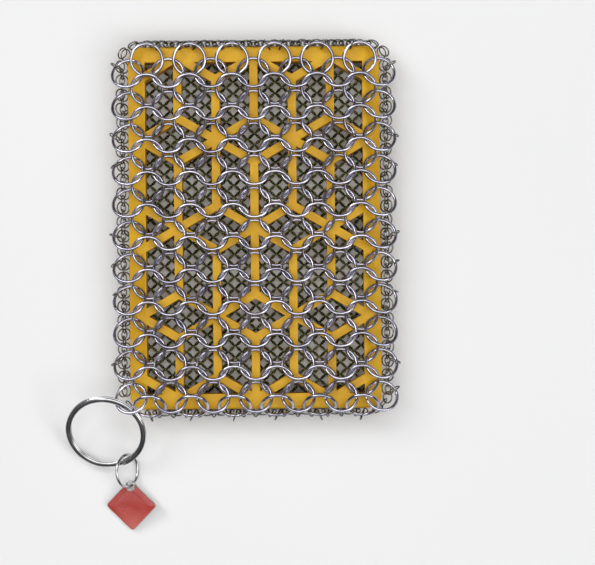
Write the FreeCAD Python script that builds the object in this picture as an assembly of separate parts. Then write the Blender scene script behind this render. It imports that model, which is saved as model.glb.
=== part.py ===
import FreeCAD, Part
import math
import os

V = FreeCAD.Vector

# Silicone insert: a flat grid of bars inside a frame, all in millimetres
INSERT_WIDTH = 77.0
INSERT_LENGTH = 111.0
INSERT_THICK = 8.0
INSERT_CORNER = 4.0
INSERT_EDGE = 1.4
INSERT_BEVEL = 2.9
SHOULDER_WIDTH = 4.6
SHOULDER_FALL = 1.7
SIDE_RAIL = 5.2
END_RAIL = 4.7
BAR_WIDTH = 2.5
BAR_COLUMNS = 3
COLUMN = 0.1517 * INSERT_WIDTH
DIAGONAL = 30.0
STAR_ROWS = (0.0, 0.2432 * INSERT_LENGTH, 0.4712 * INSERT_LENGTH)
VOID_CORNER = 0.5
CORNER_ROOM = 0.48

# Small rings of the back and the sides
SMALL_RADIUS = 1.75
SMALL_WIRE = 0.45
SMALL_TILT = 26.0
SMALL_ROW_AIM = 1.75
BACK_NODES = 16
BACK_END_INSET = 1.25
BACK_SIDE_INSET = 1.3
BACK_CORNER = 6.0

# Large rings of the front
LARGE_RADIUS = 4.83
LARGE_WIRE = 1.0
LARGE_PITCH_AIM = 13.0
LARGE_ROW_AIM = 4.95
LARGE_TILT = 22.0
FRONT_OVERHANG = 1.0
FRONT_INSET = 2.1
FRONT_SHIFT = -2.2

# Counts of the weave, and the pitches that fill the insert's size with them
COLUMNS = round((INSERT_WIDTH + FRONT_OVERHANG) / LARGE_PITCH_AIM) + 1
LARGE_PITCH = (INSERT_WIDTH + FRONT_OVERHANG) / (COLUMNS - 1)
SMALL_PITCH = LARGE_PITCH / 3
LARGE_ROWS = 2 * round((INSERT_LENGTH - FRONT_INSET) / LARGE_ROW_AIM / 2) + 1
LARGE_ROW = (INSERT_LENGTH - FRONT_INSET) / (LARGE_ROWS - 1)
BACK_REACH = INSERT_LENGTH / 2 - BACK_END_INSET
BACK_LAST = 2 * int(BACK_REACH / SMALL_ROW_AIM - 0.5) + 1
SMALL_ROW = 2 * BACK_REACH / BACK_LAST
BACK_HALF_WIDTH = INSERT_WIDTH / 2 - BACK_SIDE_INSET

# Rows that leave the plain weave: row number, tilt, shift along the part, shift in height
TOP_ROW = (1, 8.0, -0.77, -0.53)
BOTTOM_ROW = (LARGE_ROWS, 48.6, 2.3, -0.5)
END_ROLL = 10.0
END_TILT = 28.0
END_IN = 0.6
END_DROP = 0.84

# Corner ring that carries the key ring
CORNER_SHIFT = (0.95, -0.16, 0.35)
CORNER_ROLL = 13.3
CORNER_TILT = 25.4

# Side walls of small rings; their rows end where the large rings hang over
WALL_TILT = 30.0
WALL_PITCH = 1.6
WALL_FOOT = 4.15
WALL_FLARE = 0.45
WALL_SIDE_GAP = 0.45
WALL_SIDE_RAISE = 0.3
WALL_ROWS = {"top": 4, "bottom": 2, "left": 3, "right": 3}
WALL_LINE = {"top": 0, "bottom": 1, "left": 0, "right": 0}
KEY_CORNER_ROWS = 1
EDGE_MISMATCH = 0.6
LINK_SPREAD = 0.7
PATH_STEPS = 24
RING_STEPS = 48

# Key ring, jump ring and charm
KEY_RADIUS = 11.65
KEY_WIDTH = 1.7
KEY_WIRE = 0.8
KEY_COIL_GAP = 0.1
KEY_DIRECTION = 52.15
KEY_HANG = 1.634
KEY_HIGH = 1.346
KEY_LOW = 3.59
KEY_SIDE_FALL = 0.21
KEY_NOTCH = 215.0
KEY_RAMP = 24.0
RAMP_STEPS = 6
JUMP_AT = 114.0
JUMP_RADIUS = 5.0
JUMP_WIRE = 0.9
JUMP_TILT = 54.0
JUMP_REACH = 3.1
CHARM_SIDE = 11.5
CHARM_CORNER = 1.0
CHARM_PLATE = 0.9
CHARM_ENAMEL = 0.6
CHARM_HOLE = 2.1
CHARM_RIM = 3.0
CHARM_HOLE_IN = 6.1
CHARM_AT = 18.0
CHARM_SLOPE = (0.2, 0.15)
RIM_DROP = 0.1
ENAMEL_ROUND = 0.7

# Clearances
MAIL_GAP = 0.1
LINK_GAP = 0.06
HANG_GAP = 0.1
ENAMEL_INSET = 0.12
TOUCH = 0.01

# Places that follow from the sizes above
BACK_MID = SMALL_RADIUS * math.sin(math.radians(SMALL_TILT)) + SMALL_WIRE / 2
INSERT_LOW = 2 * BACK_MID + MAIL_GAP
INSERT_TOP = INSERT_LOW + INSERT_THICK
LAST_COLUMN = (COLUMNS - 1) / 2
CORNER = (LARGE_ROWS - 1, -LAST_COLUMN)
LARGE_RISE = LARGE_RADIUS * math.sin(math.radians(LARGE_TILT))
FRONT_MID = INSERT_TOP + MAIL_GAP + LARGE_WIRE / 2 + LARGE_RISE
WALL_Y = INSERT_LENGTH / 2 + MAIL_GAP + BACK_MID
WALL_X = INSERT_WIDTH / 2 + MAIL_GAP + BACK_MID + WALL_SIDE_GAP

nodes = {}


def turned_axis(tilt, roll):
    """Axis of a flat ring turned by tilt about X, then by roll about Y (right side down)."""
    t = math.radians(tilt)
    r = math.radians(roll)
    up = math.cos(t)
    return V(up * math.sin(r), -math.sin(t), up * math.cos(r))


def ring_point(centre, axis, radius, side, forward):
    """Point of a ring's centre line, given by its parts along the ring's own level and sloping lines."""
    level = V(axis.z, 0, -axis.x).normalize()
    slope = axis.cross(level)
    return centre + (level * side + slope * forward) * radius


def add_ring(node, centre, axis, radius, wire):
    """Put one closed ring in a node."""
    nodes.setdefault(node, []).append(Part.makeTorus(radius, wire / 2, centre, axis))


def add_small(node, centre, axis):
    add_ring(node, centre, axis, SMALL_RADIUS, SMALL_WIRE)


def clip(polygon, point, inward):
    """Part of a convex polygon on the inward side of a line."""
    kept = []
    for a, b in zip(polygon, polygon[1:] + polygon[:1]):
        da = (a - point).dot(inward)
        db = (b - point).dot(inward)
        if da >= 0:
            kept.append(a)
        if da * db < 0:
            kept.append(a + (b - a) * (da / (da - db)))
    return kept


def inset(polygon, distance):
    """Convex counter-clockwise polygon with every side moved inward."""
    result = polygon
    for a, b in zip(polygon, polygon[1:] + polygon[:1]):
        along = (b - a).normalize()
        inward = V(-along.y, along.x, 0)
        result = clip(result, a + inward * distance, inward)
    return result


def rounded_wire(polygon, radius):
    """Closed wire round a convex polygon with its corners rounded as far as their sides leave room."""
    edges = []
    count = len(polygon)
    starts = []
    for i, corner in enumerate(polygon):
        to_last = polygon[i - 1] - corner
        to_next = polygon[(i + 1) % count] - corner
        room = CORNER_ROOM * min(to_last.Length, to_next.Length)
        to_last.normalize()
        to_next.normalize()
        half = math.acos(max(-1.0, min(1.0, to_last.dot(to_next)))) / 2
        bend = min(radius, room * math.tan(half))
        middle = (to_last + to_next).normalize()
        first = corner + to_last * (bend / math.tan(half))
        last = corner + to_next * (bend / math.tan(half))
        centre = corner + middle * (bend / math.sin(half))
        starts.append((first, centre - middle * bend, last))
    for i, (first, middle, last) in enumerate(starts):
        edges.append(Part.Arc(first, middle, last).toShape())
        edges.append(Part.makeLine(last, starts[(i + 1) % count][0]))
    return Part.Wire(edges)


def rectangle(half_x, half_y):
    return [V(-half_x, -half_y, 0), V(half_x, -half_y, 0), V(half_x, half_y, 0), V(-half_x, half_y, 0)]


def lattice_cells():
    """Cells between the centre lines of the bars: rhombs at each row, slanted cells between rows."""
    rise = COLUMN * math.tan(math.radians(DIAGONAL))
    reach = len(STAR_ROWS) - 1
    cells = []

    def row_y(j):
        return math.copysign(STAR_ROWS[abs(j)], j)

    for j in range(-reach, reach + 1):
        y = row_y(j)
        for k in range(-BAR_COLUMNS, BAR_COLUMNS + 1):
            x = k * COLUMN
            if (j + k) % 2:
                cells.append([V(x - COLUMN, y, 0), V(x, y - rise, 0), V(x + COLUMN, y, 0), V(x, y + rise, 0)])
            if j == reach or k == BAR_COLUMNS:
                continue
            top = row_y(j + 1)
            low_left = 0 if (j + k) % 2 == 0 else rise
            low_right = rise - low_left
            cells.append([V(x, y + low_left, 0), V(x + COLUMN, y + low_right, 0),
                          V(x + COLUMN, top - low_left, 0), V(x, top - low_right, 0)])
    return cells


def shoulder(side):
    """Wedge that slopes a long top edge, where the last large rings of each row hang over it."""
    crease = V(side * (INSERT_WIDTH / 2 - SHOULDER_WIDTH), -INSERT_LENGTH, INSERT_THICK)
    beyond = crease + V(side * 2 * SHOULDER_WIDTH, 0, 0)
    below = beyond - V(0, 0, 2 * SHOULDER_FALL)
    face = Part.Face(Part.makePolygon([crease, beyond, below, crease]))
    return face.extrude(V(0, 2 * INSERT_LENGTH, 0))


def make_insert():
    """Frame and bars in one moulding, cut through at every cell, with a bevel where the edge links pass."""
    outer = rounded_wire(rectangle(INSERT_WIDTH / 2, INSERT_LENGTH / 2), INSERT_CORNER)
    voids = []
    inner_x = INSERT_WIDTH / 2 - SIDE_RAIL
    inner_y = INSERT_LENGTH / 2 - END_RAIL
    for cell in lattice_cells():
        void = inset(cell, BAR_WIDTH / 2)
        for point, inward in ((V(inner_x, 0, 0), V(-1, 0, 0)), (V(-inner_x, 0, 0), V(1, 0, 0)),
                              (V(0, inner_y, 0), V(0, -1, 0)), (V(0, -inner_y, 0), V(0, 1, 0))):
            void = clip(void, point, inward)
        if len(void) > 2:
            voids.append(Part.Face(rounded_wire(void, VOID_CORNER)).extrude(V(0, 0, INSERT_THICK)))
    grid = Part.Face(outer).extrude(V(0, 0, INSERT_THICK))
    grid = grid.cut(shoulder(1)).cut(shoulder(-1))
    upper = [e for e in grid.Edges if e.BoundBox.ZMin > INSERT_THICK - SHOULDER_FALL - TOUCH]
    crease_x = INSERT_WIDTH / 2 - SHOULDER_WIDTH
    rim = [e for e in upper if e.BoundBox.XLength > TOUCH or abs(abs(e.CenterOfMass.x) - crease_x) > TOUCH]
    grid = grid.makeFillet(INSERT_EDGE, rim)
    grid = grid.makeChamfer(INSERT_BEVEL, [e for e in grid.Edges if e.BoundBox.ZMax < TOUCH])
    grid = grid.cut(Part.makeCompound(voids))
    grid.translate(V(0, 0, INSERT_LOW))
    return grid.Solids[0]


def large_place(row, column):
    """Centre and axis of one large ring; column counts pitches from the middle line."""
    odd = row % 2 == 1
    x = column * LARGE_PITCH
    y = FRONT_SHIFT + ((LARGE_ROWS + 1) / 2 - row) * LARGE_ROW
    tilt = LARGE_TILT if odd else -LARGE_TILT
    centre = V(x, y, FRONT_MID)
    for special, special_tilt, along, height in (TOP_ROW, BOTTOM_ROW):
        if row == special:
            return centre + V(0, along, height), turned_axis(special_tilt, 0)
    if (row, column) == CORNER:
        return centre + V(*CORNER_SHIFT), turned_axis(-CORNER_TILT, -CORNER_ROLL)
    if not odd and abs(column) == LAST_COLUMN:
        side = math.copysign(1, column)
        return centre - V(side * END_IN, 0, END_DROP), turned_axis(-END_TILT, side * END_ROLL)
    return centre, turned_axis(tilt, 0)


def large_columns(row):
    """Columns of one row: odd rows have one ring less and sit half a pitch aside."""
    count = COLUMNS - row % 2
    return [c - (count - 1) / 2 for c in range(count)]


def make_large_rings():
    for row in range(1, LARGE_ROWS + 1):
        for column in large_columns(row):
            centre, axis = large_place(row, column)
            name = "corner_ring" if (row, column) == CORNER else "large_row_%02d" % row
            add_ring(name, centre, axis, LARGE_RADIUS, LARGE_WIRE)


def small_line(level, limit):
    """Places along a line of small rings, within the limit; every second line sits half a pitch aside."""
    shift = (level + COLUMNS) % 2 / 2
    count = int(limit / SMALL_PITCH) + 1
    places = [(i + shift) * SMALL_PITCH for i in range(-count, count + 1)]
    return [p for p in places if abs(p) <= limit]


def back_y(row):
    """Back rows count from the top edge; both border rows lift their outer side."""
    return BACK_REACH - row * SMALL_ROW


def back_columns(row):
    """X of every ring in a back row, kept inside a rounded outline."""
    into_corner = abs(back_y(row)) - (BACK_REACH - BACK_CORNER)
    limit = BACK_HALF_WIDTH
    if into_corner > 0:
        limit -= BACK_CORNER - math.sqrt(BACK_CORNER ** 2 - min(into_corner, BACK_CORNER) ** 2)
    return small_line(row, limit)


def make_back():
    for row in range(BACK_LAST + 1):
        node = "back_mail_%02d" % (row * BACK_NODES // (BACK_LAST + 1) + 1)
        axis = turned_axis(-SMALL_TILT if row % 2 else SMALL_TILT, 0)
        for x in back_columns(row):
            add_small(node, V(x, back_y(row), BACK_MID), axis)


def wall_height(level, outward=V(0, 1, 0)):
    return WALL_FOOT + level * WALL_PITCH + WALL_SIDE_RAISE * outward.x ** 2


def wall_x(level):
    return WALL_X + level * WALL_FLARE


def wall_axis(outward, line):
    """Axis of a wall ring, every second line leaning in at its top; the long walls also lean out."""
    lean = math.atan2(WALL_FLARE, WALL_PITCH) * outward.x ** 2
    normal = outward * math.cos(lean) - V(0, 0, math.sin(lean))
    upward = outward * math.sin(lean) + V(0, 0, math.cos(lean))
    turn = math.radians(WALL_TILT if line % 2 else -WALL_TILT)
    return normal * math.cos(turn) + upward * math.sin(turn)


def corner_path(level, line):
    """Line round one corner from the end wall to the side wall, with the outward direction at each point."""
    cx = INSERT_WIDTH / 2 - INSERT_CORNER
    cy = INSERT_LENGTH / 2 - INSERT_CORNER
    a = wall_x(level) - cx
    b = WALL_Y - cy
    path = [(V(small_line(line, cx)[-1], WALL_Y, 0), V(0, 1, 0))]
    for step in range(PATH_STEPS + 1):
        t = math.radians(90 - step * 90 / PATH_STEPS)
        outward = V(b * math.cos(t), a * math.sin(t), 0).normalize()
        path.append((V(cx + a * math.cos(t), cy + b * math.sin(t), 0), outward))
    path.append((V(wall_x(level), small_line(level, cy)[-1], 0), V(1, 0, 0)))
    return path


def corner_places(level, line):
    """Evenly spaced ring places round one corner, between the last rings of the two straight walls."""
    path = corner_path(level, line)
    lengths = [0.0]
    for (p, n), (q, m) in zip(path, path[1:]):
        lengths.append(lengths[-1] + (q - p).Length)
    count = round(lengths[-1] / SMALL_PITCH)
    places = []
    for k in range(1, count):
        want = lengths[-1] * k / count
        i = max(j for j in range(len(path) - 1) if lengths[j] <= want)
        part = (want - lengths[i]) / (lengths[i + 1] - lengths[i])
        point = path[i][0] + (path[i + 1][0] - path[i][0]) * part
        places.append((point, path[i][1] + (path[i + 1][1] - path[i][1]) * part))
    return places


def clears(centre, axis, others):
    """Whether a small ring keeps clear of the small rings already placed."""
    near = [(c, a) for c, a in others if (c - centre).Length < 2 * SMALL_RADIUS + SMALL_WIRE]
    for step in range(RING_STEPS):
        t = math.radians(360 * step / RING_STEPS)
        point = ring_point(centre, axis, SMALL_RADIUS, math.cos(t), math.sin(t))
        for other, other_axis in near:
            height = (point - other).dot(other_axis)
            across = math.sqrt(max(0.0, (point - other).Length ** 2 - height ** 2))
            if math.hypot(height, across - SMALL_RADIUS) < SMALL_WIRE:
                return False
    return True


def make_walls():
    """Straight walls first, then as many rings round each corner as find room between them."""
    placed = []

    def add_wall_ring(side, place, outward, line):
        axis = wall_axis(outward, line)
        placed.append((place, axis))
        add_small("side_mail_" + side, place, axis)

    cx = INSERT_WIDTH / 2 - INSERT_CORNER
    cy = INSERT_LENGTH / 2 - INSERT_CORNER
    for side, sign in (("top", 1), ("bottom", -1)):
        outward = V(0, sign, 0)
        for level in range(WALL_ROWS[side]):
            line = WALL_LINE[side] + level
            for x in small_line(line, cx):
                add_wall_ring(side, V(x, sign * WALL_Y, wall_height(level)), outward, line)
    for side, sign in (("right", 1), ("left", -1)):
        outward = V(sign, 0, 0)
        for level in range(WALL_ROWS[side]):
            for y in small_line(level, cy):
                add_wall_ring(side, V(sign * wall_x(level), y, wall_height(level, outward)), outward, level)
    for side, sy in (("top", 1), ("bottom", -1)):
        for sx in (1, -1):
            rows = min(WALL_ROWS[side], KEY_CORNER_ROWS if (sx, sy) == (-1, -1) else WALL_ROWS["left"])
            for level in range(rows):
                line = WALL_LINE[side] + level
                for point, outward in corner_places(level, line):
                    outward = V(outward.x * sx, outward.y * sy, 0).normalize()
                    place = V(point.x * sx, point.y * sy, wall_height(level, outward))
                    if clears(place, wall_axis(outward, line), placed):
                        add_wall_ring(side, place, outward, line)


def link(node, first, first_wire, second, along, outward=None):
    """Small ring that hangs on the first wire and takes in the second, clear of the insert's end."""
    across = second - first
    reach = SMALL_RADIUS - SMALL_WIRE / 2 - first_wire / 2 - HANG_GAP
    spare = reach + SMALL_RADIUS - SMALL_WIRE - LINK_GAP
    if across.Length > spare:
        return
    middle = first + across * (min(reach, across.Length / 2) / across.Length)
    if outward and middle.z < INSERT_TOP:
        clear_of_end = INSERT_LENGTH / 2 + MAIL_GAP + SMALL_RADIUS + SMALL_WIRE / 2
        middle += outward * max(0.0, clear_of_end - middle.dot(outward))
    direction = across / across.Length
    axis = along - direction * along.dot(direction)
    add_small(node, middle, axis.normalize())


def wall_edge_point(centre, axis, upper):
    """Highest or lowest point of a wall ring's centre line."""
    rise = V(0, 0, 1) - axis * axis.z
    rise.normalize()
    return centre + rise * (SMALL_RADIUS if upper else -SMALL_RADIUS)


def make_edge_links():
    """Rings round the back edge, from the border of the back to the lowest wall row."""
    cx = INSERT_WIDTH / 2 - INSERT_CORNER
    cy = INSERT_LENGTH / 2 - INSERT_CORNER
    tilt = math.radians(SMALL_TILT)
    reach = BACK_REACH + SMALL_RADIUS * math.cos(tilt)
    for side, sign, row in (("top", 1, 0), ("bottom", -1, BACK_LAST)):
        line = WALL_LINE[side]
        for x in small_line(line, min(cx, max(back_columns(row)) + TOUCH)):
            sheet = V(x, sign * reach, BACK_MID + SMALL_RADIUS * math.sin(tilt))
            centre = V(x, sign * WALL_Y, WALL_FOOT)
            foot = wall_edge_point(centre, wall_axis(V(0, sign, 0), line), False)
            link("edge_links_" + side, sheet, SMALL_WIRE, foot, V(1, 0, 0))
    for side, sign in (("right", 1), ("left", -1)):
        for y in small_line(WALL_LINE[side], cy):
            row = 2 * round((BACK_REACH - y) / SMALL_ROW / 2)
            border = max(back_columns(row))
            if abs(y - back_y(row)) > EDGE_MISMATCH or border < BACK_HALF_WIDTH - SMALL_PITCH / 2:
                continue
            sheet = V(sign * (border + SMALL_RADIUS), back_y(row), BACK_MID)
            centre = V(sign * WALL_X, y, wall_height(0, V(sign, 0, 0)))
            foot = wall_edge_point(centre, wall_axis(V(sign, 0, 0), WALL_LINE[side]), False)
            link("edge_links_" + side, sheet, SMALL_WIRE, foot, V(0, 1, 0))


def make_front_links():
    """Rings that hang the walls on the outer arcs of the large rings."""
    cx = INSERT_WIDTH / 2 - INSERT_CORNER
    cy = INSERT_LENGTH / 2 - INSERT_CORNER
    for side, sign, row in (("top", 1, 1), ("bottom", -1, LARGE_ROWS)):
        level = WALL_ROWS[side] - 1
        line = WALL_LINE[side] + level
        axis = wall_axis(V(0, sign, 0), line)
        for column in large_columns(row):
            centre, large_axis = large_place(row, column)
            for x in small_line(line, cx):
                part = (x - centre.x) / LARGE_RADIUS
                if abs(part) > LINK_SPREAD:
                    continue
                wire = ring_point(centre, large_axis, LARGE_RADIUS, part, sign * math.sqrt(1 - part ** 2))
                edge = wall_edge_point(V(x, sign * WALL_Y, wall_height(level)), axis, True)
                link("front_links_" + side, wire, LARGE_WIRE, edge, V(1, 0, 0), V(0, sign, 0))
    for side, sign in (("right", 1), ("left", -1)):
        level = WALL_ROWS[side] - 1
        line = WALL_LINE[side] + level
        axis = wall_axis(V(sign, 0, 0), line)
        for row in range(2, LARGE_ROWS, 2):
            if (row, sign * LAST_COLUMN) == CORNER:
                continue
            centre, large_axis = large_place(row, sign * LAST_COLUMN)
            for y in small_line(line, cy):
                part = (y - centre.y) / LARGE_RADIUS / math.cos(math.radians(END_TILT))
                if abs(part) > LINK_SPREAD:
                    continue
                wire = ring_point(centre, large_axis, LARGE_RADIUS, sign * math.sqrt(1 - part ** 2), part)
                place = V(sign * wall_x(level), y, wall_height(level, V(sign, 0, 0)))
                edge = wall_edge_point(place, axis, True)
                link("front_links_" + side, wire, LARGE_WIRE, edge, V(0, 1, 0))


def frame_placement(origin, x_axis, z_axis):
    """Placement that carries the part's own X and Z to the given directions."""
    z = V(z_axis).normalize()
    x = (x_axis - z * x_axis.dot(z)).normalize()
    y = z.cross(x)
    matrix = FreeCAD.Matrix(x.x, y.x, z.x, origin.x, x.y, y.y, z.y, origin.y,
                            x.z, y.z, z.z, origin.z, 0, 0, 0, 1)
    return FreeCAD.Placement(matrix)


def key_frame():
    """Centre, direction to the corner ring, sideways direction and axis of the key ring."""
    corner = large_place(*CORNER)[0]
    direction = math.radians(KEY_DIRECTION)
    toward = V(math.cos(direction), math.sin(direction), 0)
    centre = corner - toward * (KEY_RADIUS + KEY_HANG)
    centre.z = (FRONT_MID + KEY_HIGH + KEY_LOW) / 2
    rise = math.tan(math.asin((FRONT_MID + KEY_HIGH - KEY_LOW) / (2 * KEY_RADIUS)))
    aside = V(toward.y, -toward.x, 0)
    slope = toward * rise - aside * KEY_SIDE_FALL
    axis = V(-slope.x, -slope.y, 1).normalize()
    toward = (toward + V(0, 0, rise))
    toward = (toward - axis * toward.dot(axis)).normalize()
    return centre, toward, toward.cross(axis), axis


def key_section(height):
    """Wire section of one coil: flat faces and round sides, in the XZ plane."""
    half = (KEY_WIDTH - KEY_WIRE) / 2
    r = KEY_WIRE / 2
    inner = KEY_RADIUS - half
    outer = KEY_RADIUS + half
    edges = [Part.makeLine(V(inner, 0, height - r), V(outer, 0, height - r)),
             Part.Arc(V(outer, 0, height - r), V(outer + r, 0, height), V(outer, 0, height + r)).toShape(),
             Part.makeLine(V(outer, 0, height + r), V(inner, 0, height + r)),
             Part.Arc(V(inner, 0, height + r), V(inner - r, 0, height), V(inner, 0, height - r)).toShape()]
    return Part.Wire(edges)


def make_key_ring():
    """Two coils of flat wire with one sloping step between them; the two wire ends lie at the step."""
    top = (KEY_WIRE + KEY_COIL_GAP) / 2
    turn = 360 - 2 * KEY_RAMP
    coils = []
    for height in (top, -top):
        section = key_section(height)
        section.rotate(V(0, 0, 0), V(0, 0, 1), KEY_RAMP)
        coils.append(Part.Face(section).revolve(V(0, 0, 0), V(0, 0, 1), turn))
    sections = []
    for step in range(RAMP_STEPS + 1):
        part = step / RAMP_STEPS
        ease = (1 - math.cos(math.pi * part)) / 2
        section = key_section(top - 2 * top * ease)
        section.rotate(V(0, 0, 0), V(0, 0, 1), -KEY_RAMP + 2 * KEY_RAMP * part)
        sections.append(section)
    step_piece = Part.makeLoft(sections, True)
    ring = coils[0].fuse([coils[1], step_piece]).removeSplitter()
    ring.rotate(V(0, 0, 0), V(0, 0, 1), KEY_NOTCH)
    centre, toward, aside, axis = key_frame()
    ring.Placement = frame_placement(centre, toward, axis).multiply(ring.Placement)
    return ring.Solids[0]


def jump_frame():
    """Centre and axis of the jump ring, and its directions to the near end and to the low side."""
    centre, toward, aside, axis = key_frame()
    t = math.radians(JUMP_AT)
    wire = centre + (toward * math.cos(t) + aside * math.sin(t)) * KEY_RADIUS
    tilt = math.radians(JUMP_TILT)
    jump_axis = V(math.sin(tilt), 0, math.cos(tilt))
    down = V(0, -1, 0)
    falling = V(math.cos(tilt), 0, -math.sin(tilt))
    return wire + down * JUMP_REACH, jump_axis, down, falling


def make_jump_ring():
    centre, axis = jump_frame()[:2]
    return Part.makeTorus(JUMP_RADIUS, JUMP_WIRE / 2, centre, axis)


def charm_frame():
    """Hole centre, direction from the hole to the far corner, and axis of the charm."""
    centre, axis, down, falling = jump_frame()
    t = math.radians(CHARM_AT)
    hole = centre + (down * math.cos(t) + falling * math.sin(t)) * JUMP_RADIUS
    normal = V(-CHARM_SLOPE[0], -CHARM_SLOPE[1], 1).normalize()
    away = V(0, -1, 0)
    away = (away - normal * away.dot(normal)).normalize()
    return hole, away, normal


def diamond(grow, low, height):
    """Square plate on its corner with rounded corners, hole end on the negative side of X."""
    half = CHARM_SIDE / 2 + grow
    wire = rounded_wire(rectangle(half, half), CHARM_CORNER + grow)
    plate = Part.Face(wire).extrude(V(0, 0, height))
    plate.rotate(V(0, 0, 0), V(0, 0, 1), 45)
    plate.translate(V(CHARM_HOLE_IN, 0, low))
    return plate


def make_charm():
    """Metal plate with a bare rim round the hole, and a domed enamel layer round that rim."""
    middle = (CHARM_PLATE + CHARM_ENAMEL) / 2
    hole = Part.makeCylinder(CHARM_HOLE / 2, 4 * middle, V(0, 0, -2 * middle))
    rim = Part.makeCylinder(CHARM_RIM / 2, 2 * middle - RIM_DROP, V(0, 0, -middle))
    plate = diamond(0, -middle, CHARM_PLATE).fuse(rim).cut(hole).removeSplitter()
    enamel = diamond(-ENAMEL_INSET, CHARM_PLATE - middle, CHARM_ENAMEL)
    top = [e for e in enamel.Edges if e.CenterOfMass.z > middle - TOUCH]
    enamel = enamel.makeFillet(ENAMEL_ROUND * CHARM_ENAMEL, top)
    enamel = enamel.cut(Part.makeCylinder(CHARM_RIM / 2, 4 * middle, V(0, 0, -2 * middle)))
    origin, away, normal = charm_frame()
    place = frame_placement(origin, away, normal)
    for shape in (plate, enamel):
        shape.Placement = place.multiply(shape.Placement)
    return plate.Solids[0], enamel.Solids[0]


nodes["silicone_insert"] = [make_insert()]
make_large_rings()
make_back()
make_walls()
make_edge_links()
make_front_links()
nodes["key_ring"] = [make_key_ring()]
nodes["jump_ring"] = [make_jump_ring()]
charm_plate, charm_enamel = make_charm()
nodes["charm_plate"] = [charm_plate]
nodes["charm_enamel"] = [charm_enamel]

os.makedirs("parts", exist_ok=True)
for name, solids in nodes.items():
    shape = solids[0] if len(solids) == 1 else Part.makeCompound(solids)
    shape.exportStep("parts/%s.step" % name)
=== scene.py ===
import math
import random

import bpy
from mathutils import Euler, Matrix, Quaternion, Vector


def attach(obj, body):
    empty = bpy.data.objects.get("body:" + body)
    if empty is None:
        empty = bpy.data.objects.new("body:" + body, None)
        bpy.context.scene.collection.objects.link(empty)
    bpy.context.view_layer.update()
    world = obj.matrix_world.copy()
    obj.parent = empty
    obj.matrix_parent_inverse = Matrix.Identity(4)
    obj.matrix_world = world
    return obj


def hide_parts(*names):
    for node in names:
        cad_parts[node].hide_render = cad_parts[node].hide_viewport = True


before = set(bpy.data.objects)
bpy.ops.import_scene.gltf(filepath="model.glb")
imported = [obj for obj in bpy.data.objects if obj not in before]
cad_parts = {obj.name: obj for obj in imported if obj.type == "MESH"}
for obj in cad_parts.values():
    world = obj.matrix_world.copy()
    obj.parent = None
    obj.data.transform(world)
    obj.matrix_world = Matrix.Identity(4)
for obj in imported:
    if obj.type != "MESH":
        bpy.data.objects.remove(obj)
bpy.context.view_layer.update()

# Sizes are in millimetres and angles in degrees; MM turns a size into Blender's metres
MM = 0.001
TINY = 1e-6

# Photograph: frame in pixels, width of a pixel on the part, and the pixel of the part's middle
PHOTO_WIDTH = 595
PHOTO_HEIGHT = 565
PIXEL = 0.305
PART_PIXEL = (255.0, 227.0)
PART_LEAN = 0.5
CAMERA_HEIGHT = 700.0
SENSOR = 36.0

# Silicone grid
GRID_WIDTH = 77.0
GRID_LENGTH = 111.0
GRID_THICK = 8.0
GRID_CORNER = 4.0
GRID_EDGE = 1.4
GRID_BEVEL = 2.9
SHOULDER_WIDTH = 4.6
SHOULDER_FALL = 1.7
SIDE_RAIL = 5.2
END_RAIL = 4.7
BAR_WIDTH = 2.5
BAR_COLUMNS = 3
COLUMN = 11.68
DIAGONAL = 30.0
STAR_RISE = COLUMN * math.tan(math.radians(DIAGONAL))
STAR_ROWS = (0.0, 27.0, 52.3)
BAR_LAP = 0.8
GRID_SHARP = 35.0
GRID_FLAT = 1.0
GRID_MERGE = 0.01
FACE_WEIGHT = 90
CORNER_STEPS = 8
EDGE_STEPS = 4

# Large rings of the front
LARGE_RADIUS = 4.83
LARGE_WIRE = 1.0
LARGE_TILT = 22.0
LARGE_ROWS = 23
COLUMNS = 7
LAST_COLUMN = (COLUMNS - 1) / 2
FRONT_OVERHANG = 1.0
FRONT_INSET = 2.1
FRONT_SHIFT = -2.2
LEAVING_ROWS = {1: (8.0, -0.77, -0.53), LARGE_ROWS: (48.6, 2.3, -0.5)}
END_ROLL = 10.0
END_TILT = 28.0
END_IN = 0.6
END_DROP = 0.84
CORNER = (LARGE_ROWS - 1, -LAST_COLUMN)
CORNER_SHIFT = (0.95, -0.16, 0.35)
CORNER_ROLL = 13.3
CORNER_TILT = 25.4
LARGE_AROUND = 32
LARGE_SECTION = 8

# Small rings of the back and the sides
SMALL_RADIUS = 1.75
SMALL_WIRE = 0.45
SMALL_TILT = 26.0
SMALL_TO_LARGE = 3
BACK_LAST = 61
BACK_END_INSET = 1.25
BACK_SIDE_INSET = 1.3
BACK_CORNER = 6.0
WALL_TILT = 30.0
WALL_PITCH = 1.6
WALL_FOOT = 4.15
WALL_FLARE = 0.45
WALL_SIDE_RAISE = 0.3
WALL_SIDE_GAP = 0.45
WALL_ROWS = {"top": 4, "bottom": 2, "left": 3, "right": 3}
WALL_LINE = {"top": 0, "bottom": 1, "left": 0, "right": 0}
KEY_CORNER_ROWS = 1
EDGE_MISMATCH = 0.6
LINK_SPREAD = 0.7
LINK_GAP = 0.06
HANG_GAP = 0.1
MAIL_GAP = 0.1
PATH_STEPS = 24
RING_STEPS = 48
SMALL_AROUND = 14
SMALL_SECTION = 5

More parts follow.
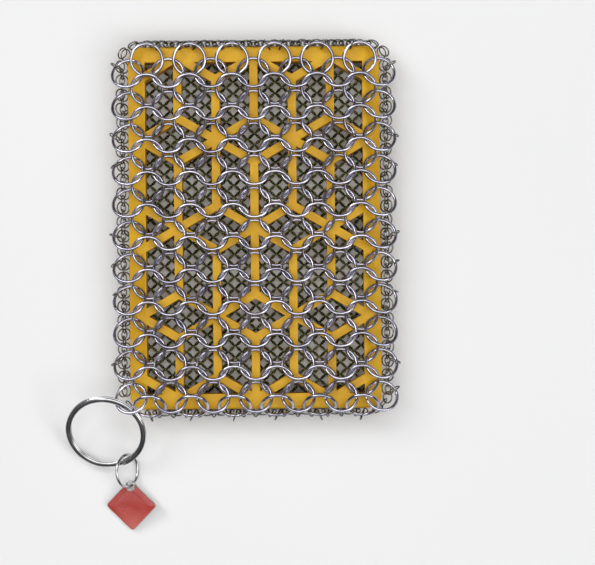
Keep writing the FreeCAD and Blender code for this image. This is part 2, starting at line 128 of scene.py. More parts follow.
# Pitches and places that follow from these sizes
LARGE_PITCH = (GRID_WIDTH + FRONT_OVERHANG) / (COLUMNS - 1)
LARGE_ROW = (GRID_LENGTH - FRONT_INSET) / (LARGE_ROWS - 1)
SMALL_PITCH = LARGE_PITCH / SMALL_TO_LARGE
BACK_REACH = GRID_LENGTH / 2 - BACK_END_INSET
SMALL_ROW = 2 * BACK_REACH / BACK_LAST
BACK_HALF_WIDTH = GRID_WIDTH / 2 - BACK_SIDE_INSET
BACK_MID = SMALL_RADIUS * math.sin(math.radians(SMALL_TILT)) + SMALL_WIRE / 2
GRID_LOW = 2 * BACK_MID + MAIL_GAP
FRONT_RISE = LARGE_RADIUS * math.sin(math.radians(LARGE_TILT))
FRONT_MID = GRID_LOW + GRID_THICK + MAIL_GAP + LARGE_WIRE / 2 + FRONT_RISE
WALL_X = GRID_WIDTH / 2 + MAIL_GAP + WALL_SIDE_GAP + BACK_MID
WALL_Y = GRID_LENGTH / 2 + MAIL_GAP + BACK_MID

# Welds, and how far loose rings sway or turn by their play
WELD_SWELL = 1.1
WELD_SPREAD = 9.0
LARGE_PLAY = 1.0
WALL_PLAY = 6.0
LINK_PLAY = (18.0, 40.0)

# Key ring, jump ring and charm
KEY_RADIUS = 11.65
KEY_WIDTH = 1.7
KEY_WIRE = 0.8
KEY_COIL_GAP = 0.1
KEY_NOTCH = 215.0
KEY_RAMP = 24.0
COIL_STEPS = 52
RAMP_STEPS = 8
KEY_SECTION = 16
KEY_SHARP = 50.0
KEY_DIRECTION = 52.15
KEY_HANG = 1.634
KEY_HIGH = 1.346
KEY_LOW = 3.59
KEY_SIDE_FALL = 0.21
JUMP_AT = 114.0
JUMP_RADIUS = 5.0
JUMP_TILT = 54.0
JUMP_REACH = 3.1
CHARM_SIDE = 11.5
CHARM_CORNER = 1.0
CHARM_PLATE = 0.9
CHARM_ENAMEL = 0.6
CHARM_RIM = 3.0
CHARM_HOLE_IN = 6.1
CHARM_AT = 18.0
CHARM_SLOPE = (0.2, 0.15)
RIM_GAP = 0.02
RIM_STEPS = 48
RIM_DEPTH = 4.0
ENAMEL_INSET = 0.12
ENAMEL_SOFT = 0.12
SOFT_STEPS = 3
ENAMEL_SHARP = 8.0
ENAMEL_SMOOTH = 35.0
ENAMEL_STEPS = 5
MARGIN_WIDTH = 1.4
MARGIN_FALL = 0.24

# Colours as the photograph shows them, from 0 to 255
SILICONE_DEEP = (207, 155, 14)
SILICONE_WARM = (225, 174, 22)
SILICONE_SOILED = (186, 135, 16)
# Enamel reds: the bright and pale tones also carry painted light towards the charm's far corner, and pale
# also the scuffs
ENAMEL_DEEP = (152, 30, 24)
ENAMEL_BRIGHT = (194, 72, 64)
ENAMEL_PALE = (212, 134, 124)
FLOOR_PALE = (241, 241, 241)
FLOOR_SHADE = (239, 239, 239)
HORIZON = (48, 48, 50)
ZENITH = (156, 156, 157)

# Steel: darkest and lightest tone, least and most roughness, and how fine its grain is
LARGE_STEEL = dict(dark=(146, 145, 162), light=(216, 215, 228), smooth=0.08, rough=0.24, fineness=300.0)
SMALL_STEEL = dict(dark=(88, 88, 86), light=(150, 150, 148), smooth=0.12, rough=0.3, fineness=500.0)
# Back rings: the small rings' steel painted darker and olive, as painted shade inside the cells and a
# painted yellow reflection of the silicone
SHADED_OLIVE_BACK_STEEL = dict(dark=(72, 80, 50), light=(138, 148, 106), smooth=0.12, rough=0.3, fineness=500.0)
KEY_STEEL = dict(dark=(176, 176, 178), light=(212, 212, 213), smooth=0.03, rough=0.14, fineness=260.0)
CHARM_STEEL = dict(dark=(190, 188, 186), light=(220, 219, 217), smooth=0.18, rough=0.36, fineness=300.0)

# Studio: the floor, where the surroundings grow lighter, and three soft boxes that face the part
FLOOR_SIZE = 6000.0
HORIZON_HEIGHT = 0.3
ZENITH_HEIGHT = 0.95
OVERHEAD = dict(place=(0.0, 60.0, 1100.0), size=1200.0, brightness=1.7)
WINDOW = dict(place=(-1300.0, 1000.0, 1500.0), size=900.0, brightness=6.0)
FILL = dict(place=(1300.0, -700.0, 1500.0), size=900.0, brightness=4.0)

UP = Vector((0, 0, 1))
chance = random.Random(7)


# Places of the rings


def turned_axis(tilt, roll):
    """Axis of a flat ring turned by tilt about X, then by roll about Y."""
    t = math.radians(tilt)
    r = math.radians(roll)
    return Vector((math.cos(t) * math.sin(r), -math.sin(t), math.cos(t) * math.cos(r)))


def ring_directions(axis):
    """Level and sloping direction of a ring's own plane."""
    level = Vector((axis.z, 0, -axis.x)).normalized()
    return level, axis.cross(level).normalized()


def ring_point(centre, axis, radius, side, forward):
    level, slope = ring_directions(axis)
    return centre + (level * side + slope * forward) * radius


def large_columns(row):
    """Columns of one row: odd rows have one ring less and sit half a pitch aside."""
    count = COLUMNS - row % 2
    return [c - (count - 1) / 2 for c in range(count)]


def large_place(row, column):
    """Centre and axis of one large ring; column counts pitches from the middle line."""
    y = FRONT_SHIFT + ((LARGE_ROWS + 1) / 2 - row) * LARGE_ROW
    centre = Vector((column * LARGE_PITCH, y, FRONT_MID))
    if row in LEAVING_ROWS:
        tilt, along, height = LEAVING_ROWS[row]
        return centre + Vector((0, along, height)), turned_axis(tilt, 0)
    if (row, column) == CORNER:
        return centre + Vector(CORNER_SHIFT), turned_axis(-CORNER_TILT, -CORNER_ROLL)
    if row % 2 == 0 and abs(column) == LAST_COLUMN:
        side = math.copysign(1, column)
        return centre - Vector((side * END_IN, 0, END_DROP)), turned_axis(-END_TILT, side * END_ROLL)
    return centre, turned_axis(LARGE_TILT if row % 2 else -LARGE_TILT, 0)


def small_line(line, limit):
    """Places along a line of small rings, within the limit; every second line sits half a pitch aside."""
    shift = (line + COLUMNS) % 2 / 2
    count = int(limit / SMALL_PITCH) + 1
    places = [(i + shift) * SMALL_PITCH for i in range(-count, count + 1)]
    return [p for p in places if abs(p) <= limit]


def back_y(row):
    """Back rows count from the top edge."""
    return BACK_REACH - row * SMALL_ROW


def back_columns(row):
    """X of every ring in a back row, kept inside a rounded outline."""
    into_corner = abs(back_y(row)) - (BACK_REACH - BACK_CORNER)
    limit = BACK_HALF_WIDTH
    if into_corner > 0:
        limit -= BACK_CORNER - math.sqrt(BACK_CORNER ** 2 - min(into_corner, BACK_CORNER) ** 2)
    return small_line(row, limit)


def back_places():
    places = []
    for row in range(BACK_LAST + 1):
        axis = turned_axis(-SMALL_TILT if row % 2 else SMALL_TILT, 0)
        places += [(Vector((x, back_y(row), BACK_MID)), axis) for x in back_columns(row)]
    return places


def wall_height(level, outward):
    return WALL_FOOT + level * WALL_PITCH + WALL_SIDE_RAISE * outward.x ** 2


def wall_x(level):
    return WALL_X + level * WALL_FLARE


def wall_axis(outward, line):
    """Axis of a wall ring, every second line leaning in at its top; the long walls also lean out."""
    lean = math.atan2(WALL_FLARE, WALL_PITCH) * outward.x ** 2
    normal = outward * math.cos(lean) - UP * math.sin(lean)
    upward = outward * math.sin(lean) + UP * math.cos(lean)
    turn = math.radians(WALL_TILT if line % 2 else -WALL_TILT)
    return normal * math.cos(turn) + upward * math.sin(turn)


def wall_limits():
    """How far the straight walls run from the part's middle, across and along."""
    return GRID_WIDTH / 2 - GRID_CORNER, GRID_LENGTH / 2 - GRID_CORNER


def corner_path(level, line):
    """Line round one corner from the end wall to the side wall, with the way out at each point."""
    cx, cy = wall_limits()
    a = wall_x(level) - cx
    b = WALL_Y - cy
    path = [(Vector((small_line(line, cx)[-1], WALL_Y, 0)), Vector((0, 1, 0)))]
    for step in range(PATH_STEPS + 1):
        t = math.radians(90 - step * 90 / PATH_STEPS)
        outward = Vector((b * math.cos(t), a * math.sin(t), 0)).normalized()
        path.append((Vector((cx + a * math.cos(t), cy + b * math.sin(t), 0)), outward))
    path.append((Vector((wall_x(level), small_line(level, cy)[-1], 0)), Vector((1, 0, 0))))
    return path


def corner_places(level, line):
    """Evenly spaced ring places round one corner, between the last rings of the two straight walls."""
    path = corner_path(level, line)
    lengths = [0.0]
    for (p, _), (q, _) in zip(path, path[1:]):
        lengths.append(lengths[-1] + (q - p).length)
    count = round(lengths[-1] / SMALL_PITCH)
    places = []
    for k in range(1, count):
        want = lengths[-1] * k / count
        i = max(j for j in range(len(path) - 1) if lengths[j] <= want)
        part = (want - lengths[i]) / (lengths[i + 1] - lengths[i])
        places.append((path[i][0].lerp(path[i + 1][0], part), path[i][1].lerp(path[i + 1][1], part)))
    return places


def clears(centre, axis, others):
    """Whether a small ring keeps clear of the small rings already placed."""
    near = [(c, a) for c, a in others if (c - centre).length < 2 * SMALL_RADIUS + SMALL_WIRE]
    for step in range(RING_STEPS):
        t = math.radians(360 * step / RING_STEPS)
        point = ring_point(centre, axis, SMALL_RADIUS, math.cos(t), math.sin(t))
        for other, other_axis in near:
            height = (point - other).dot(other_axis)
            across = math.sqrt(max(0.0, (point - other).length_squared - height ** 2))
            if math.hypot(height, across - SMALL_RADIUS) < SMALL_WIRE:
                return False
    return True


def wall_places():
    """Straight walls first, then as many rings round each corner as find room between them."""
    placed = []
    cx, cy = wall_limits()
    for side, sign in (("top", 1), ("bottom", -1)):
        outward = Vector((0, sign, 0))
        for level in range(WALL_ROWS[side]):
            line = WALL_LINE[side] + level
            for x in small_line(line, cx):
                place = Vector((x, sign * WALL_Y, wall_height(level, outward)))
                placed.append((place, wall_axis(outward, line)))
    for side, sign in (("right", 1), ("left", -1)):
        outward = Vector((sign, 0, 0))
        for level in range(WALL_ROWS[side]):
            for y in small_line(level, cy):
                place = Vector((sign * wall_x(level), y, wall_height(level, outward)))
                placed.append((place, wall_axis(outward, level)))
    for side, sy in (("top", 1), ("bottom", -1)):
        for sx in (1, -1):
            rows = min(WALL_ROWS[side], KEY_CORNER_ROWS if (sx, sy) == (-1, -1) else WALL_ROWS["left"])
            for level in range(rows):
                line = WALL_LINE[side] + level
                for point, turned in corner_places(level, line):
                    outward = Vector((turned.x * sx, turned.y * sy, 0)).normalized()
                    place = Vector((point.x * sx, point.y * sy, wall_height(level, outward)))
                    axis = wall_axis(outward, line)
                    if clears(place, axis, placed):
                        placed.append((place, axis))
    return placed


def link_place(first, first_wire, second, along, outward=None):
    """List of one loosely turned ring that hangs on the first wire and takes in the second, or of none."""
    across = second - first
    reach = SMALL_RADIUS - SMALL_WIRE / 2 - first_wire / 2 - HANG_GAP
    if across.length > reach + SMALL_RADIUS - SMALL_WIRE - LINK_GAP:
        return []
    middle = first + across.normalized() * min(reach, across.length / 2)
    if outward and middle.z < GRID_LOW + GRID_THICK:
        clear_of_end = GRID_LENGTH / 2 + MAIL_GAP + SMALL_RADIUS + SMALL_WIRE / 2
        middle += outward * max(0.0, clear_of_end - middle.dot(outward))
    direction = across.normalized()
    axis = (along - direction * along.dot(direction)).normalized()
    axis.rotate(Quaternion(direction, math.radians(chance.choice((-1, 1)) * chance.uniform(*LINK_PLAY))))
    return [(middle, axis)]


def wall_edge_point(centre, axis, upper):
    """Highest or lowest point of a wall ring's centre line."""
    rise = (UP - axis * axis.z).normalized()
    return centre + rise * (SMALL_RADIUS if upper else -SMALL_RADIUS)


def edge_link_places():
    """Rings round the back edge, from the border of the back to the lowest wall row."""
    places = []
    cx, cy = wall_limits()
    tilt = math.radians(SMALL_TILT)
    reach = BACK_REACH + SMALL_RADIUS * math.cos(tilt)
    for side, sign, row in (("top", 1, 0), ("bottom", -1, BACK_LAST)):
        line = WALL_LINE[side]
        outward = Vector((0, sign, 0))
        for x in small_line(line, min(cx, max(back_columns(row)) + LINK_GAP)):
            sheet = Vector((x, sign * reach, BACK_MID + SMALL_RADIUS * math.sin(tilt)))
            centre = Vector((x, sign * WALL_Y, WALL_FOOT))
            foot = wall_edge_point(centre, wall_axis(outward, line), False)
            places += link_place(sheet, SMALL_WIRE, foot, Vector((1, 0, 0)))
    for sign in (1, -1):
        outward = Vector((sign, 0, 0))
        for y in small_line(0, cy):
            row = 2 * round((BACK_REACH - y) / SMALL_ROW / 2)
            border = max(back_columns(row))
            if abs(y - back_y(row)) > EDGE_MISMATCH or border < BACK_HALF_WIDTH - SMALL_PITCH / 2:
                continue
            sheet = Vector((sign * (border + SMALL_RADIUS), back_y(row), BACK_MID))
            centre = Vector((sign * WALL_X, y, wall_height(0, outward)))
            foot = wall_edge_point(centre, wall_axis(outward, 0), False)
            places += link_place(sheet, SMALL_WIRE, foot, Vector((0, 1, 0)))
    return places


def front_link_places():
    """Rings that hang the walls on the outer arcs of the large rings."""
    places = []
    cx, cy = wall_limits()
    for side, sign, row in (("top", 1, 1), ("bottom", -1, LARGE_ROWS)):
        level = WALL_ROWS[side] - 1
        line = WALL_LINE[side] + level
        outward = Vector((0, sign, 0))
        for column in large_columns(row):
            centre, axis = large_place(row, column)
            for x in small_line(line, cx):
                part = (x - centre.x) / LARGE_RADIUS
                if abs(part) > LINK_SPREAD:
                    continue
                wire = ring_point(centre, axis, LARGE_RADIUS, part, sign * math.sqrt(1 - part ** 2))
                place = Vector((x, sign * WALL_Y, wall_height(level, outward)))
                edge = wall_edge_point(place, wall_axis(outward, line), True)
                places += link_place(wire, LARGE_WIRE, edge, Vector((1, 0, 0)), outward)
    for side, sign in (("right", 1), ("left", -1)):
        level = WALL_ROWS[side] - 1
        outward = Vector((sign, 0, 0))
        for row in range(2, LARGE_ROWS, 2):
            if (row, sign * LAST_COLUMN) == CORNER:
                continue
            centre, axis = large_place(row, sign * LAST_COLUMN)
            for y in small_line(level, cy):
                part = (y - centre.y) / LARGE_RADIUS / math.cos(math.radians(END_TILT))
                if abs(part) > LINK_SPREAD:
                    continue
                wire = ring_point(centre, axis, LARGE_RADIUS, sign * math.sqrt(1 - part ** 2), part)
                place = Vector((sign * wall_x(level), y, wall_height(level, outward)))
                edge = wall_edge_point(place, wall_axis(outward, level), True)
                places += link_place(wire, LARGE_WIRE, edge, Vector((0, 1, 0)))
    return places


def key_frame():
    """Centre of the key ring, its directions to the corner ring and aside, and its axis."""
    corner = large_place(*CORNER)[0]
    direction = math.radians(KEY_DIRECTION)
    toward = Vector((math.cos(direction), math.sin(direction), 0))
    key = corner - toward * (KEY_RADIUS + KEY_HANG)
    key.z = (FRONT_MID + KEY_HIGH + KEY_LOW) / 2
    rise = math.tan(math.asin((FRONT_MID + KEY_HIGH - KEY_LOW) / (2 * KEY_RADIUS)))
    aside = Vector((toward.y, -toward.x, 0))
    slope = toward * rise - aside * KEY_SIDE_FALL
    axis = Vector((-slope.x, -slope.y, 1)).normalized()
    toward = toward + UP * rise
    toward = (toward - axis * toward.dot(axis)).normalized()
    return key, toward, toward.cross(axis), axis


def charm_frame():
    """Hole centre, direction from the hole to the far corner, and upward axis of the charm."""
    key, toward, aside, _ = key_frame()
    t = math.radians(JUMP_AT)
    wire = key + (toward * math.cos(t) + aside * math.sin(t)) * KEY_RADIUS
    down = Vector((0, -1, 0))
    jump = wire + down * JUMP_REACH
    tilt = math.radians(JUMP_TILT)
    falling = Vector((math.cos(tilt), 0, -math.sin(tilt)))
    t = math.radians(CHARM_AT)
    hole = jump + (down * math.cos(t) + falling * math.sin(t)) * JUMP_RADIUS
    normal = Vector((-CHARM_SLOPE[0], -CHARM_SLOPE[1], 1)).normalized()
    return hole, (down - normal * down.dot(normal)).normalized(), normal


# Modelling


def select_only(obj):
    bpy.ops.object.select_all(action="DESELECT")
    obj.select_set(True)
    bpy.context.view_layer.objects.active = obj


def apply_place(obj):
    """Put an object's place into its mesh."""
    select_only(obj)
    bpy.ops.object.transform_apply(location=True, rotation=True, scale=True)


def apply_modifiers(obj):
    select_only(obj)
    for modifier in list(obj.modifiers):
        bpy.ops.object.modifier_apply(modifier=modifier.name)


def place_matrix(origin, x_axis, z_axis):
    """Matrix that carries a piece's own X and Z to the given directions, with its origin in millimetres."""
    z = z_axis.normalized()
    x = (x_axis - z * x_axis.dot(z)).normalized()
    matrix = Matrix((x, z.cross(x), z)).transposed().to_4x4()
    matrix.translation = origin * MM
    return matrix


def add_block(size, middle, turn=0.0):
    """Box at its place, turned about the vertical; in edit mode it joins the open mesh."""
    bpy.ops.mesh.primitive_cube_add(size=1, location=Vector(middle) * MM, rotation=(0, 0, turn),
                                    scale=Vector(size) * MM)


def start_block(name, size, middle, turn=0.0):
    """A box as a new object, ready to be shaped."""
    bpy.ops.object.select_all(action="DESELECT")
    add_block(size, middle, turn)
    block = bpy.context.object
    block.name = name
    apply_place(block)
    return block


def choose(obj, part, test):
    """Select in edit mode the vertices, edges or faces that pass a test."""
    bpy.ops.object.mode_set(mode="EDIT")
    bpy.ops.mesh.select_mode(type={"vertices": "VERT", "edges": "EDGE", "polygons": "FACE"}[part])
    bpy.ops.mesh.select_all(action="DESELECT")
    bpy.ops.object.mode_set(mode="OBJECT")
    for item in getattr(obj.data, part):
        item.select = test(item)
    bpy.ops.object.mode_set(mode="EDIT")


def end_points(obj, edge):
    return [obj.data.vertices[i].co for i in edge.vertices]


def bevel_upright_edges(obj, offset, segments):
    def upright(edge):
        a, b = end_points(obj, edge)
        return (a.xy - b.xy).length < TINY

    choose(obj, "edges", upright)
    bpy.ops.mesh.bevel(offset=offset * MM, segments=segments)
    bpy.ops.object.mode_set(mode="OBJECT")


def on_outline(point):
    """Whether a point of the frame lies on its rounded outline."""
    across = abs(point.x) / MM - (GRID_WIDTH / 2 - GRID_CORNER)
    along = abs(point.y) / MM - (GRID_LENGTH / 2 - GRID_CORNER)
    return math.hypot(max(across, 0), max(along, 0)) > GRID_CORNER - GRID_MERGE


def bevel_outline(frame_block, upper, offset, segments):
    """Bevel the upper or the lower edge all round the frame."""
    middle = (GRID_LOW + GRID_THICK / 2) * MM
    choose(frame_block, "edges", lambda e: all((p.z > middle) == upper and on_outline(p)
                                               for p in end_points(frame_block, e)))
    bpy.ops.mesh.bevel(offset=offset * MM, segments=segments)
    bpy.ops.object.mode_set(mode="OBJECT")


def combine(obj, tool, operation):
    """Add a second shape to an object or take it out of it, and the second shape out of the scene."""
    change = obj.modifiers.new("combine", "BOOLEAN")
    change.object = tool
    change.operation = operation
    change.solver = "EXACT"
    change.use_self = True
    apply_modifiers(obj)
    bpy.data.objects.remove(tool)


def slope_shoulder(obj, side):
    """Slope a long top edge, where the last large rings of each row hang over it."""
    crease = Vector((side * (GRID_WIDTH / 2 - SHOULDER_WIDTH), 0, GRID_LOW + GRID_THICK))
    bpy.ops.object.mode_set(mode="EDIT")
    bpy.ops.mesh.select_all(action="SELECT")
    normal = Vector((side * SHOULDER_FALL, 0, SHOULDER_WIDTH)).normalized()
    bpy.ops.mesh.bisect(plane_co=crease * MM, plane_no=normal, use_fill=True, clear_outer=True)
    bpy.ops.object.mode_set(mode="OBJECT")


def bar_ends():
    """Both ends of every bar: four arms at each star, and uprights from row to row."""
    reach = len(STAR_ROWS) - 1
    bars = []
    for j in range(-reach, reach + 1):
        y = math.copysign(STAR_ROWS[abs(j)], j)
        for k in range(-BAR_COLUMNS, BAR_COLUMNS + 1):
            star = (j + k) % 2 == 0
            arms = [(sx, sy) for sx in (-1, 1) for sy in (-1, 1)] if star else []
            for sx, sy in arms:
                if abs(k + sx) <= BAR_COLUMNS and sy * j < reach:
                    tip = Vector(((k + sx) * COLUMN, y + sy * STAR_RISE))
                    bars.append((Vector((k * COLUMN, y)), tip))
            if j < reach and abs(k) < BAR_COLUMNS:
                top = math.copysign(STAR_ROWS[abs(j + 1)], j + 1)
                low = y if star else y + STAR_RISE
                high = top - STAR_RISE if star else top
                bars.append((Vector((k * COLUMN, low)), Vector((k * COLUMN, high))))
    return bars


def model_bars():
    """All bars as blocks in one object, each reaching into what it meets."""
    middle = GRID_LOW + GRID_THICK / 2
    bars = None
    for a, b in bar_ends():
        run = b - a
        size = (run.length + BAR_WIDTH * BAR_LAP, BAR_WIDTH, GRID_THICK)
        place = (*((a + b) / 2), middle)
        if bars is None:
            bars = start_block("bars", size, place, math.atan2(run.y, run.x))
            bpy.ops.object.mode_set(mode="EDIT")
        else:
            add_block(size, place, math.atan2(run.y, run.x))
    bpy.ops.object.mode_set(mode="OBJECT")
    return bars


def model_grid():
    """Frame and bars, run together into one moulding."""
    middle = GRID_LOW + GRID_THICK / 2
    grid = start_block("silicone_grid", (GRID_WIDTH, GRID_LENGTH, GRID_THICK), (0, 0, middle))
    bevel_upright_edges(grid, GRID_CORNER, CORNER_STEPS)
    bevel_outline(grid, upper=True, offset=GRID_EDGE, segments=EDGE_STEPS)
    bevel_outline(grid, upper=False, offset=GRID_BEVEL, segments=1)
    slope_shoulder(grid, 1)
    slope_shoulder(grid, -1)
    inner = (GRID_WIDTH - 2 * SIDE_RAIL, GRID_LENGTH - 2 * END_RAIL, 2 * GRID_THICK)
    combine(grid, start_block("opening", inner, (0, 0, middle)), "DIFFERENCE")
    combine(grid, model_bars(), "UNION")
    select_only(grid)
    bpy.ops.object.mode_set(mode="EDIT")
    bpy.ops.mesh.select_all(action="SELECT")
    bpy.ops.mesh.remove_doubles(threshold=GRID_MERGE * MM)
    bpy.ops.mesh.dissolve_limited(angle_limit=math.radians(GRID_FLAT))
    bpy.ops.mesh.delete_loose()
    bpy.ops.object.mode_set(mode="OBJECT")
    bpy.ops.object.shade_smooth_by_angle(angle=math.radians(GRID_SHARP))
    even = grid.modifiers.new("even", "WEIGHTED_NORMAL")
    even.weight = FACE_WEIGHT
    even.keep_sharp = True
    apply_modifiers(grid)
    return grid


def model_ring(name, radius, wire, around, section):
    """One closed ring, a little thicker at its weld."""
    bpy.ops.object.select_all(action="DESELECT")
    bpy.ops.mesh.primitive_torus_add(major_segments=around, minor_segments=section,
                                     major_radius=radius * MM, minor_radius=wire / 2 * MM)
    ring = bpy.context.object
    ring.name = name
    choose(ring, "vertices", lambda v: v.co.x > 0 and abs(v.co.y) < TINY)
    bpy.ops.transform.resize(value=(WELD_SWELL, 1, WELD_SWELL), center_override=(radius * MM, 0, 0))
    bpy.ops.object.mode_set(mode="OBJECT")
    bpy.ops.object.shade_smooth()
    return ring


def lay_rings(name, pattern, places, play=0.0):
    """Copies of one ring at all places, swayed by their play and joined; each keeps a tone of its own."""
    copies = []
    for centre, axis in places:
        copy = pattern.copy()
        copy.data = pattern.data.copy()
        lean = UP.rotation_difference(axis).to_matrix().to_4x4()
        sway = [math.radians(chance.uniform(-play, play)) for _ in range(2)]
        lean @= Euler((*sway, 0)).to_matrix().to_4x4()
        turn = math.radians(chance.choice((0, 180)) + chance.uniform(-WELD_SPREAD, WELD_SPREAD))
        copy.matrix_world = Matrix.Translation(centre * MM) @ lean @ Matrix.Rotation(turn, 4, "Z")
        tone = copy.data.attributes.new("ring_tone", "FLOAT", "POINT")
        tone.data.foreach_set("value", [chance.random()] * len(copy.data.vertices))
        bpy.context.scene.collection.objects.link(copy)
        copies.append(copy)
    bpy.ops.object.select_all(action="DESELECT")
    for copy in copies:
        copy.select_set(True)
    bpy.context.view_layer.objects.active = copies[0]
    if len(copies) > 1:
        bpy.ops.object.join()
    piece = bpy.context.view_layer.objects.active
    piece.name = name
    apply_place(piece)
    return piece


def model_key_ring():
    """Split ring: oval wire led twice round, with one sloping step from the upper coil to the lower."""
    top = (KEY_WIRE + KEY_COIL_GAP) / 2
    start = Vector((KEY_RADIUS, 0, top)) * MM
    bpy.ops.object.select_all(action="DESELECT")
    bpy.ops.mesh.primitive_circle_add(vertices=KEY_SECTION, radius=KEY_WIRE / 2 * MM, fill_type="NGON",
                                      location=start, rotation=(math.radians(90), 0, 0))
    ring = bpy.context.object
    ring.name = "key_ring_coils"
    apply_place(ring)
    bpy.ops.object.mode_set(mode="EDIT")
    bpy.ops.mesh.select_mode(type="FACE")
    bpy.ops.mesh.select_all(action="SELECT")
    bpy.ops.transform.resize(value=(KEY_WIDTH / KEY_WIRE, 1, 1), center_override=start)
    coil = 360 - 2 * KEY_RAMP
    runs = [(coil, 0, COIL_STEPS), (2 * KEY_RAMP, 2 * top, RAMP_STEPS), (coil, 0, COIL_STEPS)]
    for turn, fall, steps in runs:
        for step in range(steps):
            ease = (math.cos(math.pi * step / steps) - math.cos(math.pi * (step + 1) / steps)) / 2
            bpy.ops.mesh.extrude_region_move(TRANSFORM_OT_translate={"value": (0, 0, -fall * ease * MM)})
            bpy.ops.transform.rotate(value=-math.radians(turn / steps), orient_axis="Z",
                                     center_override=(0, 0, 0))
    bpy.ops.mesh.select_all(action="SELECT")
    bpy.ops.mesh.normals_make_consistent(inside=False)
    bpy.ops.object.mode_set(mode="OBJECT")
    bpy.ops.object.shade_smooth_by_angle(angle=math.radians(KEY_SHARP))
    centre, toward, _, axis = key_frame()
    turned = Matrix.Rotation(math.radians(KEY_NOTCH + KEY_RAMP), 4, "Z")
    ring.matrix_world = place_matrix(centre, toward, axis) @ turned
    apply_place(ring)
    return ring


def model_enamel():
    """Cushion of enamel on the charm: a flat field, sloping margins and a round gap for the bare rim."""
    side = CHARM_SIDE - 2 * ENAMEL_INSET
    low = (CHARM_PLATE - CHARM_ENAMEL) / 2
    enamel = start_block("charm_enamel_field", (side, side, CHARM_ENAMEL),
                         (CHARM_HOLE_IN, 0, low + CHARM_ENAMEL / 2), math.radians(45))
    choose(enamel, "polygons", lambda f: f.normal.z > 0.9)
    bpy.ops.mesh.inset(thickness=MARGIN_WIDTH * MM)
    bpy.ops.object.mode_set(mode="OBJECT")
    corner_reach = (side / math.sqrt(2) - MARGIN_WIDTH / 2) * MM
    middle = Vector((CHARM_HOLE_IN * MM, 0))
    choose(enamel, "vertices",
           lambda v: v.co.z > low * MM + TINY and (v.co.xy - middle).length > corner_reach)
    bpy.ops.transform.translate(value=(0, 0, -MARGIN_FALL * MM))
    bpy.ops.object.mode_set(mode="OBJECT")
    bevel_upright_edges(enamel, CHARM_CORNER - ENAMEL_INSET, ENAMEL_STEPS)
    bpy.ops.object.select_all(action="DESELECT")
    bpy.ops.mesh.primitive_cylinder_add(vertices=RIM_STEPS, radius=(CHARM_RIM / 2 + RIM_GAP) * MM,
                                        depth=RIM_DEPTH * MM)
    combine(enamel, bpy.context.object, "DIFFERENCE")
    soft = enamel.modifiers.new("soft", "BEVEL")
    soft.width = ENAMEL_SOFT * MM
    soft.segments = SOFT_STEPS
    soft.angle_limit = math.radians(ENAMEL_SHARP)
    apply_modifiers(enamel)
    bpy.ops.object.shade_smooth_by_angle(angle=math.radians(ENAMEL_SMOOTH))
    hole, away, normal = charm_frame()
    enamel.matrix_world = place_matrix(hole, away, normal)
    apply_place(enamel)
    return enamel


# Finishes


def seen(colour):
    """A colour as the photograph shows it, as the linear colour that a shader takes."""
    def linear(value):
        value /= 255
        return value / 12.92 if value <= 0.04045 else ((value + 0.055) / 1.055) ** 2.4
    return (*map(linear, colour), 1.0)


def new_group(name, outputs):
    """Empty shader group that takes a place and a fineness and gives named values."""
    group = bpy.data.node_groups.new(name, "ShaderNodeTree")
    group.interface.new_socket("Vector", in_out="INPUT", socket_type="NodeSocketVector")
    group.interface.new_socket("Fineness", in_out="INPUT", socket_type="NodeSocketFloat")
    for socket in outputs:
        group.interface.new_socket(socket, in_out="OUTPUT", socket_type="NodeSocketFloat")
    return group, group.nodes.new("NodeGroupInput").outputs, group.nodes.new("NodeGroupOutput").inputs


def noise(tree, vector, scale, detail=3.0, roughness=0.55):
    node = tree.nodes.new("ShaderNodeTexNoise")
    tree.links.new(vector, node.inputs["Vector"])
    if isinstance(scale, (int, float)):
        node.inputs["Scale"].default_value = scale
    else:
        tree.links.new(scale, node.inputs["Scale"])
    node.inputs["Detail"].default_value = detail
    node.inputs["Roughness"].default_value = roughness
    return node.outputs["Fac"]


def spread(tree, value, low, high, to_low=0.0, to_high=1.0):
    """Map a range of a value to another range, held at its ends."""
    node = tree.nodes.new("ShaderNodeMapRange")
    tree.links.new(value, node.inputs["Value"])
    for socket, number in (("From Min", low), ("From Max", high), ("To Min", to_low), ("To Max", to_high)):
        node.inputs[socket].default_value = number
    return node.outputs["Result"]


def calculate(tree, operation, a, b):
    node = tree.nodes.new("ShaderNodeMath")
    node.operation = operation
    for socket, value in zip(node.inputs, (a, b)):
        if isinstance(value, (int, float)):
            socket.default_value = value
        else:
            tree.links.new(value, socket)
    return node.outputs[0]


def halves(tree, a, b):
    """Half of one value and half of another."""
    return calculate(tree, "ADD", calculate(tree, "MULTIPLY", a, 0.5), calculate(tree, "MULTIPLY", b, 0.5))


def coordinate(tree, vector, axis):
    parts = tree.nodes.new("ShaderNodeSeparateXYZ")
    tree.links.new(vector, parts.inputs[0])
    return parts.outputs[axis]


def blend_colours(tree, factor, first, second):
    """Mix two colours, each given as the photograph shows it or as another node's output."""
    node = tree.nodes.new("ShaderNodeMix")
    node.data_type = "RGBA"
    tree.links.new(factor, node.inputs["Factor"])
    for socket, colour in ((node.inputs[6], first), (node.inputs[7], second)):
        if isinstance(colour, tuple):
            socket.default_value = seen(colour)
        else:
            tree.links.new(colour, socket)
    return node.outputs[2]


def make_wire_grain():
    """Drawn wire: soft clouds of tone, and fine scratches."""
    group, given, made = new_group("wire_grain", ["Tone", "Scratch"])
    clouds = noise(group, given["Vector"], given["Fineness"])
    group.links.new(spread(group, clouds, 0.35, 0.68), made["Tone"])
    finer = calculate(group, "MULTIPLY", given["Fineness"], 7.0)
    scratches = noise(group, given["Vector"], finer, detail=5.0, roughness=0.7)
    group.links.new(spread(group, scratches, 0.3, 0.75), made["Scratch"])
    return group


